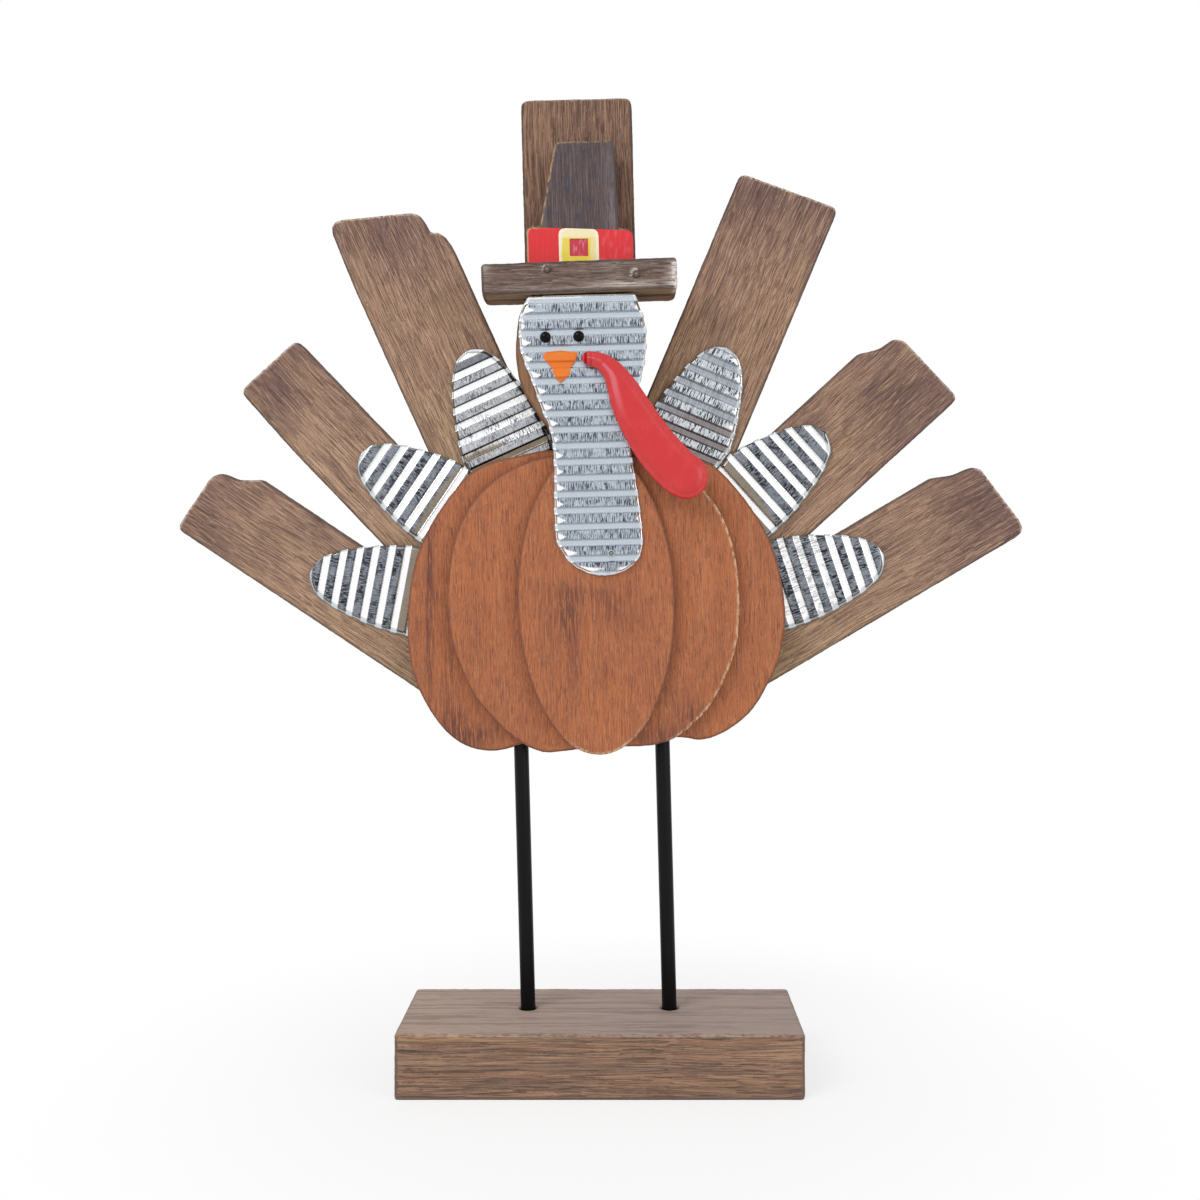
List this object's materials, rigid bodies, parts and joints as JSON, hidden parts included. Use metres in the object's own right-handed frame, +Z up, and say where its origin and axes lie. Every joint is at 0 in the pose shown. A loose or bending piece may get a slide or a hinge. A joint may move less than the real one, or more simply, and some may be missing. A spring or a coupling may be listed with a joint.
{
  "type": "turkey shelf figure",
  "caption": "Free-standing turkey shelf figure: a fan of wooden planks and corrugated metal feathers behind a layered body, with a hatted head, on rod legs and a wood block.",
  "frame": {"origin": "centre of the base block's underside", "axes": "+Z up, +X to the viewer's right, the figure faces -Y"},
  "size_m": [0.37, 0.064, 0.423],
  "materials": {
    "base_wood": "brown stain on solid softwood, matt",
    "leg_paint": "satin black paint on steel rod",
    "pumpkin_wood": "orange brown stain, dark open grain, matt",
    "plank_wood": "weathered brown stain, matt",
    "galvanised_sheet": "galvanised with spangle, semi gloss",
    "head_wood": "brown stain, matt",
    "hat_wood": "grey black wash, worn edges, matt",
    "brim_wood": "grey brown wash with pale wear, matt",
    "red_enamel": "red enamel paint on wood, semi gloss",
    "yellow_enamel": "yellow enamel paint on wood, semi gloss",
    "orange_enamel": "orange enamel paint on the sheet, semi gloss",
    "black_bead": "glossy black",
    "snood_paint": "red paint on a rounded cut piece, satin",
    "nail_steel": "bright wire nail"
  },
  "bodies": {
    "root": {"base_block": "base_wood", "leg_rod_left": "leg_paint", "leg_rod_right": "leg_paint", "pumpkin_back_board": "pumpkin_wood", "pumpkin_middle_board": "pumpkin_wood", "pumpkin_front_board": "pumpkin_wood", "tail_plank_left_lower": "plank_wood", "tail_plank_left_middle": "plank_wood", "tail_plank_left_upper": "plank_wood", "tail_plank_centre": "plank_wood", "tail_plank_right_upper": "plank_wood", "tail_plank_right_middle": "plank_wood", "tail_plank_right_lower": "plank_wood", "metal_feather_left_lower": "galvanised_sheet", "metal_feather_left_middle": "galvanised_sheet", "metal_feather_left_upper": "galvanised_sheet", "metal_feather_right_upper": "galvanised_sheet", "metal_feather_right_middle": "galvanised_sheet", "metal_feather_right_lower": "galvanised_sheet", "head_board": "head_wood", "head_sheet": "galvanised_sheet", "hat_board": "hat_wood", "hat_brim": "brim_wood", "hat_band": "red_enamel", "hat_buckle": "yellow_enamel", "beak": "orange_enamel", "eye_left": "black_bead", "eye_right": "black_bead", "snood": "snood_paint", "brim_nail_left": "nail_steel", "brim_nail_right": "nail_steel", "neck_nail": "nail_steel", "tail_brad_left_lower_left": "nail_steel", "tail_brad_left_lower_right": "nail_steel", "tail_brad_left_middle_left": "nail_steel", "tail_brad_left_middle_right": "nail_steel", "tail_brad_left_upper_left": "nail_steel", "tail_brad_left_upper_right": "nail_steel", "tail_brad_centre_left": "nail_steel", "tail_brad_centre_right": "nail_steel", "tail_brad_right_upper_left": "nail_steel", "tail_brad_right_upper_right": "nail_steel", "tail_brad_right_middle_left": "nail_steel", "tail_brad_right_middle_right": "nail_steel", "tail_brad_right_lower_left": "nail_steel", "tail_brad_right_lower_right": "nail_steel"}
  },
  "joints": []
}
